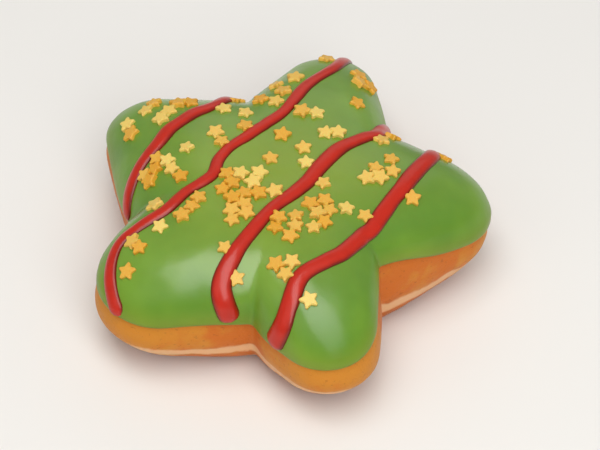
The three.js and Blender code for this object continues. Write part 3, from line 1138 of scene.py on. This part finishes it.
@dataclass(frozen=True)
class Stripe:
    """One stripe of drizzle: its width, and the bends that it passes through on the disc."""

    OVERRUN = 0.03

    width: float
    bends: tuple[tuple[float, float], ...]

    def curve(self, fineness: int) -> np.ndarray:
        """Rounds the stripe through its bends.

        Args:
            fineness: Least number of steps from one bend to the next.

        Returns:
            One row of u and w for each place.
        """
        bends = np.array(self.bends)
        padded = np.concatenate([[2 * bends[0] - bends[1]], bends, [2 * bends[-1] - bends[-2]]])
        count = len(bends) * fineness
        along = np.arange(count + 1) * (len(bends) - 1) / count
        span = np.minimum(along.astype(int), len(bends) - 2)
        part = (along - span)[:, None]
        before, start, end, after = (padded[span + step] for step in range(4))
        lean_in, lean_out = (end - before) / 2, (after - start) / 2
        cubic = 2 * start - 2 * end + lean_in + lean_out
        square = -3 * start + 3 * end - 2 * lean_in - lean_out
        return ((cubic * part + square) * part + lean_in) * part + start

    def places(self, icing: IcingForm, fineness: int, step: float) -> np.ndarray:
        """Places on the icing at even steps along it.

        Args:
            icing: The icing that the stripe crosses, and on whose lip it ends.
            fineness: Least number of trial places from one bend to the next.
            step: Least distance from one place to the next.

        Returns:
            One row of u and w for each place.
        """
        fine = self.curve(fineness)
        edge = icing.edge_share(np.arctan2(fine[:, 1], fine[:, 0]))
        inside = fine[np.hypot(fine[:, 0], fine[:, 1]) <= edge + self.OVERRUN]
        points = icing.points(inside)
        kept = [0]
        for number in range(1, len(inside)):
            if np.linalg.norm(points[number] - points[kept[-1]]) >= step:
                kept.append(number)
        return inside[kept]


STRIPES = (
    Stripe(4.2, ((-0.46, 0.74), (-0.37, 0.42), (-0.385, 0.23), (-0.48, 0.115), (-0.64, -0.035),
                 (-0.82, -0.24))),
    Stripe(3.5, ((0.04, 0.95), (0.03, 0.64), (-0.035, 0.46), (-0.075, 0.33), (-0.14, 0.245),
                 (-0.185, 0.135), (-0.24, 0.03), (-0.255, -0.06), (-0.33, -0.15), (-0.37, -0.24),
                 (-0.46, -0.325), (-0.525, -0.39), (-0.535, -0.47), (-0.515, -0.6), (-0.49, -0.75))),
    Stripe(4.2, ((0.45, 0.84), (0.34, 0.44), (0.26, 0.31), (0.17, 0.19), (0.115, 0.07),
                 (0.085, -0.025), (0.01, -0.155), (-0.035, -0.28), (-0.085, -0.44), (-0.115, -0.62),
                 (-0.07, -0.84))),
    Stripe(4.4, ((0.7, 0.66), (0.518, 0.33), (0.43, 0.12), (0.43, -0.07), (0.428, -0.205),
                 (0.34, -0.28), (0.24, -0.34), (0.175, -0.43), (0.172, -0.58), (0.175, -0.72),
                 (0.155, -0.9))),
)


@dataclass
class Drizzle:
    """The red stripes, piped across the icing and left to settle."""

    surface: IcingSurface
    finish: Finish = PipedIcing()
    stripes: tuple[Stripe, ...] = STRIPES
    rise: float = 0.256
    root: float = 0.116
    step: float = 0.7
    fineness: int = 60
    sides: int = 24
    unevenness: float = 0.16
    bead_length: float = 8.0
    rounded_end: float = 2.4
    least_end: float = 0.2
    sag_from: float = 0.4
    sag: float = 0.5

    def build(self) -> bpy.types.Object:
        """Makes all the stripes as one piece.

        Returns:
            The finished piece.
        """
        points, edges, facing, swell = [], [], [], []
        for number, stripe in enumerate(self.stripes):
            places = stripe.places(self.surface.icing, self.fineness, self.step)
            first = len(points)
            found, ways = self.surface.find(places)
            points += found
            facing += ways
            swell += [stripe.width * MM * share for share in self.swelling(number, places)]
            edges += [(at, at + 1) for at in range(first, len(points) - 1)]
        mesh = bpy.data.meshes.new("drizzle")
        mesh.from_pydata(points, edges, [])
        hold(mesh, "facing", np.array(facing), "FLOAT_VECTOR")
        hold(mesh, "swell", np.array(swell))
        made = bpy.data.objects.new("drizzle", mesh)
        bpy.context.scene.collection.objects.link(made)
        piece = self.sweep(made)
        piece.data.shade_smooth()
        return piece

    def swelling(self, number: int, places: np.ndarray) -> list[float]:
        """How wide the stripe is at each place, as a share of its usual width.

        Args:
            number: The stripe's number, so that no two are alike.
            places: Its places on the disc.

        Returns:
            A share for each place, small at both rounded ends.
        """
        shares = []
        for at, (_, w) in enumerate(places):
            run = at * self.step
            spot = Vector((run / self.bead_length, number * LAYERS_APART, 0))
            uneven = 1 + self.unevenness * noise.noise(spot)
            low = max(-w - self.sag_from, 0) / (1 - self.sag_from)
            to_end = min(at, len(places) - 1 - at) * self.step / self.rounded_end
            rounded = math.sqrt(1 - (1 - min(to_end, 1)) ** 2)
            shares.append(uneven * (1 + self.sag * low) * max(rounded, self.least_end))
        return shares

    def sweep(self, source: bpy.types.Object) -> bpy.types.Object:
        """Draws a low rounded section along every stripe.

        Args:
            source: The stripes as lines that hold facing and swell.

        Returns:
            The same object with the swept mesh.
        """
        grower = Grower("drizzle_sweep")
        graph = grower.graph
        rise = grower.number("Rise per width", self.rise)
        root = grower.number("Root per width", self.root)
        line = graph.node("GeometryNodeMeshToCurve", None, {"Mesh": grower.source})
        turned = graph.node(
            "GeometryNodeSetCurveNormal",
            {"mode": "FREE"},
            {"Curve": line, "Normal": grower.held("facing", "FLOAT_VECTOR")},
        )
        circle = {"Resolution": self.sides, "Radius": 1.0}
        ring = graph.node("GeometryNodeCurvePrimitiveCircle", None, circle)
        place = graph.node("GeometryNodeInputPosition")
        across = graph.node("ShaderNodeSeparateXYZ", None, {"Vector": place})
        up = across.other("Y")
        above = graph.math("MAXIMUM", up, 0.0)
        below = graph.math("MINIMUM", up, 0.0)
        section = {"X": above * rise + below * root, "Y": across * 0.5}
        shaped = graph.node("ShaderNodeCombineXYZ", None, section)
        # The crest value stored here is the mask for the drizzle's painted highlight and painted shade.
        crested = graph.node(
            "GeometryNodeStoreNamedAttribute", None, {"Geometry": ring, "Name": "lit_crest", "Value": above}
        )
        profile = graph.node("GeometryNodeSetPosition", None, {"Geometry": crested, "Position": shaped})
        swept = graph.node(
            "GeometryNodeCurveToMesh",
            None,
            {"Curve": turned, "Profile Curve": profile, "Scale": grower.held("swell"), "Fill Caps": True},
        )
        return grower.run(source, swept, self.finish.material())


@dataclass(frozen=True)
class Patch:
    """Where a few sugar stars fell: its middle and half-widths on the disc, and how many."""

    u: float
    w: float
    across: float = 0.01
    along: float = 0.01
    count: int = 1


@dataclass(frozen=True)
class SugarStar:
    """One sugar star: its place, its turn and lean in radians, and how far others hold it up."""

    u: float
    w: float
    turn: float
    lean_east: float
    lean_north: float
    lift: float


class Draw:
    """Even draws between 0 and 1 that are the same each time."""

    FACTOR = 16807
    MODULUS = 2147483647

    def __init__(self, seed: int) -> None:
        """Starts from the seed."""
        self.state = seed

    def __call__(self) -> float:
        """The next draw."""
        self.state = (self.state * self.FACTOR) % self.MODULUS
        return self.state / self.MODULUS


PATCHES = (
    Patch(-0.555, 0.28, 0.03, 0.045, 2),
    Patch(-0.47, 0.225, 0.025, 0.03, 2),
    Patch(-0.44, 0.31, 0.03, 0.03, 2),
    Patch(-0.64, 0.185, 0.01, 0.035, 2),
    Patch(-0.265, 0.125, 0.035, 0.03, 2),
    Patch(-0.375, 0.07),
    Patch(-0.325, 0.32),
    Patch(-0.34, 0.51),
    Patch(-0.24, 0.32, 0.04, 0.03, 2),
    Patch(-0.205, 0.22),
    Patch(-0.2, 0.43, 0.03, 0.02, 2),
    Patch(-0.13, 0.505, 0.06, 0.07, 3),
    Patch(-0.125, 0.385),
    Patch(-0.56, -0.06, 0.045, 0.045, 3),
    Patch(-0.48, -0.03, 0.05, 0.055, 4),
    Patch(-0.4, -0.07, 0.04, 0.04, 2),
    Patch(-0.28, -0.19, 0.05, 0.055, 4),
    Patch(-0.455, -0.24),
    Patch(-0.175, -0.065, 0.04, 0.06, 4),
    Patch(-0.095, -0.03, 0.02, 0.03, 2),
    Patch(-0.105, -0.125, 0.05, 0.045, 4),
    Patch(-0.11, -0.24, 0.045, 0.04, 3),
    Patch(-0.125, -0.395, 0.01, 0.045, 2),
    Patch(-0.05, 0.2),
    Patch(0.03, 0.15),
    Patch(-0.065, 0.07),
    Patch(0.14, 0.0),
    Patch(0.035, -0.235, 0.025, 0.04, 2),
    Patch(0.09, -0.215, 0.03, 0.08, 3),
    Patch(0.17, -0.12, 0.065, 0.045, 4),
    Patch(0.275, -0.1, 0.02, 0.02),
    Patch(0.18, -0.205, 0.04, 0.025, 2),
    Patch(0.365, -0.11, 0.015, 0.015),
    Patch(0.32, 0.318),
    Patch(0.385, 0.43, 0.01, 0.02),
    Patch(0.575, 0.38),
    Patch(0.3, 0.09, 0.03, 0.035, 3),
    Patch(0.345, 0.18, 0.035, 0.02, 2),
    Patch(0.365, 0.12),
    Patch(0.48, 0.03),
    Patch(-0.01, 0.7, 0.02, 0.02),
    Patch(0.105, 0.62, 0.03, 0.05, 2),
    Patch(0.185, 0.66),
    Patch(0.17, 0.49),
    Patch(0.02, 0.325, 0.05, 0.015, 3),
    Patch(0.1, 0.25, 0.04, 0.03, 3),
    Patch(0.11, -0.445, 0.035, 0.07, 3),
    Patch(0.22, -0.515),
    Patch(-0.06, -0.57),
    Patch(-0.44, -0.395, 0.03, 0.03, 2),
    Patch(-0.435, -0.495, 0.015, 0.02),
    Patch(-0.35, -0.325, 0.02, 0.025),
    Patch(0.0, -0.08),
    Patch(0.072, 0.085),
    Patch(0.138, 0.278),
    Patch(-0.291, -0.251),
)


@dataclass
class SugarStars:
    """The golden sugar stars, scattered in patches between the stripes.

    The draws are judged on the frame's own icing, named drawn_on, and the stars are then set on the
    finished surface, so that each one lies where the frame has it.
    """

    surface: IcingSurface
    drawn_on: IcingForm
    finish: Finish = PressedSugar()
    patches: tuple[Patch, ...] = PATCHES
    stripes: tuple[Stripe, ...] = STRIPES
    seed: int = 20486
    tries: int = 60
    spacing: float = 3.1
    to_drizzle: float = 3.0
    drizzle_step: float = 4.0
    drizzle_fineness: int = 12
    clear: float = 5.0
    stack: float = 0.9
    tilt: float = 9.0
    radius: float = 2.8
    waist: float = 0.5
    thickness: float = 1.5
    root: float = 0.65
    corner: float = 0.35
    bevel: float = 0.28
    bevel_draw: float = 0.86
    size_spread: float = 0.09
    tips: int = 5
    corner_steps: int = 2
    golden_bias: float = 1.3

    def scatter(self) -> list[SugarStar]:
        """Draws the stars: two draws for a place, one for the turn and two for the lean.

        Returns:
            The stars that found a free place.
        """
        draw = Draw(self.seed)
        lines = [
            stripe.places(self.drawn_on, self.drizzle_fineness, self.drizzle_step)
            for stripe in self.stripes
        ]
        drizzle = self.drawn_on.points(np.concatenate(lines))
        stars: list[SugarStar] = []
        points: list[np.ndarray] = []
        lean = math.radians(self.tilt)
        for patch in self.patches:
            wanted = patch.count
            for _ in range(self.tries):
                if not wanted:
                    break
                away = math.sqrt(draw())
                heading = TURN * draw()
                u = patch.u + patch.across * away * math.cos(heading)
                w = patch.w + patch.along * away * math.sin(heading)
                turn = TURN * draw()
                lean_east = lean * (2 * draw() - 1)
                lean_north = lean * (2 * draw() - 1)
                point = self.drawn_on.points(np.array([[u, w]]))[0]
                nearest = min((np.linalg.norm(point - other) for other in points), default=self.clear)
                off_drizzle = np.linalg.norm(drizzle - point, axis=1).min()
                if nearest >= self.spacing and off_drizzle >= self.to_drizzle:
                    lift = self.stack * max(1 - nearest / self.clear, 0)
                    stars.append(SugarStar(u, w, turn, lean_east, lean_north, lift))
                    points.append(point)
                    wanted -= 1
        return stars

    def build(self) -> bpy.types.Object:
        """Makes all the stars as one piece.

        Returns:
            The finished piece.
        """
        stars = self.scatter()
        draw = Draw(self.seed + 1)
        found, ways = self.surface.find(np.array([(star.u, star.w) for star in stars]))
        points, turns, sizes, tints = [], [], [], []
        for star, point, way in zip(stars, found, ways):
            upright = Vector((0, 0, 1)).rotation_difference(way)
            lean = Quaternion((0, 1, 0), star.lean_north) @ Quaternion((1, 0, 0), star.lean_east)
            spun = upright @ lean @ Quaternion((0, 0, 1), star.turn)
            points.append(point + way * star.lift * MM)
            turns.append(tuple(spun.to_euler()))
            sizes.append(1 + self.size_spread * (2 * draw() - 1))
            tints.append(draw() ** self.golden_bias)
        mesh = bpy.data.meshes.new("sugar_stars")
        mesh.from_pydata(points, [], [])
        hold(mesh, "turn", np.array(turns), "FLOAT_VECTOR")
        hold(mesh, "size", np.array(sizes))
        hold(mesh, "tint", np.array(tints))
        made = bpy.data.objects.new("sugar_stars", mesh)
        bpy.context.scene.collection.objects.link(made)
        LOG.info("sugar stars: %d", len(stars))
        return self.instance(made)

    def instance(self, source: bpy.types.Object) -> bpy.types.Object:
        """Sets one bevelled star on every point.

        Args:
            source: The points, which hold turn, size and tint.

        Returns:
            The same object with the stars' mesh.
        """
        grower = Grower("sugar_star_scatter")
        graph = grower.graph
        radius = grower.size("Star Radius", self.radius)
        waist = grower.number("Star Waist", self.waist)
        thickness = grower.size("Thickness", self.thickness)
        root = grower.size("Root", self.root)
        bevel = grower.size("Bevel", self.bevel)
        corner = grower.size("Corner Radius", self.corner)
        star = {"Points": self.tips, "Inner Radius": radius * waist, "Outer Radius": radius}
        outline = graph.node("GeometryNodeCurveStar", None, star)
        rounded = graph.node(
            "GeometryNodeFilletCurve",
            {"mode": "POLY"},
            {"Curve": outline, "Count": self.corner_steps, "Radius": corner},
        )
        face = graph.node("GeometryNodeFillCurve", {"mode": "NGONS"}, {"Curve": rounded})
        up = (0.0, 0.0, 1.0)
        wall = graph.node(
            "GeometryNodeExtrudeMesh", None, {"Mesh": face, "Offset": up, "Offset Scale": thickness - bevel}
        )
        rim = graph.node(
            "GeometryNodeExtrudeMesh",
            None,
            {"Mesh": wall, "Selection": wall.other("Top"), "Offset": up, "Offset Scale": bevel},
        )
        drawn = graph.node(
            "GeometryNodeScaleElements",
            None,
            {"Geometry": rim, "Selection": rim.other("Top"), "Scale": self.bevel_draw},
        )
        underside = graph.node("GeometryNodeFlipFaces", None, {"Mesh": face})
        joined = graph.node("GeometryNodeJoinGeometry")
        for part in (drawn, underside):
            graph.feed(joined.socket.node.inputs["Geometry"], part)
        near = {"Geometry": joined, "Distance": WELD * MM}
        closed = graph.node("GeometryNodeMergeByDistance", None, near)
        down = graph.node("ShaderNodeCombineXYZ", None, {"Z": root * -1.0})
        sunk = graph.node("GeometryNodeSetPosition", None, {"Geometry": closed, "Offset": down})
        stars = graph.node(
            "GeometryNodeInstanceOnPoints",
            None,
            {
                "Points": grower.source,
                "Instance": sunk,
                "Rotation": grower.held("turn", "FLOAT_VECTOR"),
                "Scale": grower.held("size"),
            },
        )
        return grower.run(source, stars, self.finish.material())


# ---------------------------------------------------------------- the doughnut


class Doughnut:
    """The whole doughnut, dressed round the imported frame."""

    CREASE_ROUNDING = 3.0
    PROBE_STEPS = 60

    def __init__(self) -> None:
        """Finds the star's own middle in the frame."""
        self.sharp = StarForm()
        self.soft = replace(self.sharp, crease_rounding=self.CREASE_ROUNDING)
        self.centre = self.find_centre()

    def find_centre(self) -> Vector:
        """The star's own middle, in millimetres, from where the frame's dough lies.

        Returns:
            The middle, at height 0.
        """
        low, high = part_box("dough")
        angles = self.sharp.directions(self.PROBE_STEPS)
        widest = self.sharp.upper(angles, np.ones(len(angles)))
        own = (widest.min(0) + widest.max(0)) / 2
        return Vector((*(((low + high) / 2).xy / MM - Vector(own[:2])), 0))

    def dress(self) -> None:
        """Builds every piece and lets it ride on the frame."""
        sharp_icing = IcingForm(self.sharp)
        soft_icing = IcingForm(self.soft)
        dough = Dough(self.soft, soft_icing, self.centre).build()
        self.mount(dough, Slot.DOUGH, "dough")
        coat = IcingCoat(soft_icing, self.centre).build()
        surface = IcingSurface(soft_icing, self.centre, coat)
        drizzle = Drizzle(surface).build()
        stars = SugarStars(surface, sharp_icing).build()
        self.mount(coat, Slot.ICING, "icing")
        self.mount(drizzle, Slot.DRIZZLE, "icing")
        self.mount(stars, Slot.SUGAR_STARS, "icing")

    @staticmethod
    def mount(piece: bpy.types.Object, slot: Slot, node: str) -> None:
        """Lets a piece ride on the frame's body.

        Args:
            piece: The piece.
            slot: The record's slot for its material; not used.
            node: The frame's node that it stands for.
        """
        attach(piece, BODY)
        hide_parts(node)
        LOG.info("%s: %d faces, stands for %s", piece.name, len(piece.data.polygons), node)


# ---------------------------------------------------------------- the studio


def outwards(azimuth: float, elevation: float) -> Vector:
    """The way from the doughnut to a viewer, who at azimuth 0 looks along +Y.

    Args:
        azimuth: Degrees round the doughnut.
        elevation: Degrees up from level.

    Returns:
        A direction of length 1.
    """
    turn, rise = math.radians(azimuth), math.radians(elevation)
    return Vector((math.sin(turn) * math.cos(rise), -math.cos(turn) * math.cos(rise), math.sin(rise)))


@dataclass(frozen=True)
class SoftBox:
    """A soft oblong light aimed at the doughnut, whose long side points along a heading."""

    name: str
    azimuth: float
    elevation: float
    distance: float
    length: float
    width: float
    heading: float
    power: float

    def turned(self) -> Matrix:
        """How the light is turned, with its back away from the doughnut.

        Returns:
            The turn, as a matrix.
        """
        back = outwards(self.azimuth, self.elevation)
        heading = math.radians(self.heading)
        along = Vector((math.cos(heading), math.sin(heading), 0))
        along = (along - back * along.dot(back)).normalized()
        return Matrix((along, back.cross(along), back)).transposed()


@dataclass
class Studio:
    """Floor, soft lights, sky and camera."""

    centre: Vector
    azimuth: float = 14.0
    elevation: float = 46.0
    distance: float = 0.87
    lens: float = 204.0
    nearest_shown: float = 0.01
    sideways: float = 0.0043
    look_height: float = 0.018
    floor_size: float = 6.0
    sky: str = "#F4F3F1"
    sky_strength: float = 0.35
    lights: tuple[SoftBox, ...] = (
        SoftBox("strip", 22, 64, 0.9, 1.5, 0.55, -50, 9.3),
        SoftBox("fill", -30, 38, 1.2, 0.9, 0.7, 150, 0.9),
        SoftBox("back", 185, 35, 1.2, 0.9, 0.6, 0, 0.8),
    )

    def build(self) -> None:
        """Makes everything round the doughnut."""
        self.lay_floor()
        for light in self.lights:
            self.hang(light)
        self.set_sky()
        self.aim_camera()
        bpy.context.scene.view_settings.view_transform = "Standard"

    def target(self) -> Vector:
        """The point that the camera and the lights look at.

        Returns:
            The point, in metres.
        """
        turn = math.radians(self.azimuth)
        across = Vector((math.cos(turn), math.sin(turn), 0))
        return self.centre + across * self.sideways + Vector((0, 0, self.look_height))

    def lay_floor(self) -> None:
        """A wide pale floor at the height of the base."""
        half = self.floor_size / 2
        corners = [(-half, -half, 0), (half, -half, 0), (half, half, 0), (-half, half, 0)]
        mesh = bpy.data.meshes.new("floor")
        mesh.from_pydata(corners, [], [(0, 1, 2, 3)])
        mesh.materials.append(MattFloor().material())
        floor = bpy.data.objects.new("floor", mesh)
        bpy.context.scene.collection.objects.link(floor)

    def hang(self, light: SoftBox) -> None:
        """Hangs one soft light.

        Args:
            light: The light.
        """
        lamp = bpy.data.lights.new(light.name, "AREA")
        lamp.shape = "RECTANGLE"
        lamp.size = light.length
        lamp.size_y = light.width
        lamp.energy = light.power
        holder = bpy.data.objects.new(light.name, lamp)
        holder.location = self.target() + outwards(light.azimuth, light.elevation) * light.distance
        holder.rotation_euler = light.turned().to_euler()
        bpy.context.scene.collection.objects.link(holder)

    def set_sky(self) -> None:
        """An even pale light from all round."""
        world = bpy.data.worlds.new("sky")
        world.use_nodes = True
        background = world.node_tree.nodes["Background"]
        background.inputs["Color"].default_value = colour(self.sky)
        background.inputs["Strength"].default_value = self.sky_strength
        bpy.context.scene.world = world

    def aim_camera(self) -> None:
        """Sets the camera where the doughnut is seen from."""
        camera = bpy.data.cameras.new("camera")
        camera.lens = self.lens
        camera.clip_start = self.nearest_shown
        holder = bpy.data.objects.new("camera", camera)
        way = outwards(self.azimuth, self.elevation)
        holder.location = self.target() + way * self.distance
        holder.rotation_euler = way.to_track_quat("Z", "Y").to_euler()
        bpy.context.scene.collection.objects.link(holder)
        bpy.context.scene.camera = holder


def main() -> None:
    """Loads the frame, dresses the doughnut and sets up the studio."""
    logging.basicConfig(level=logging.INFO, format="%(message)s")
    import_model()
    doughnut = Doughnut()
    doughnut.dress()
    Studio(doughnut.centre * MM).build()


if __name__ == "__main__":
    main()
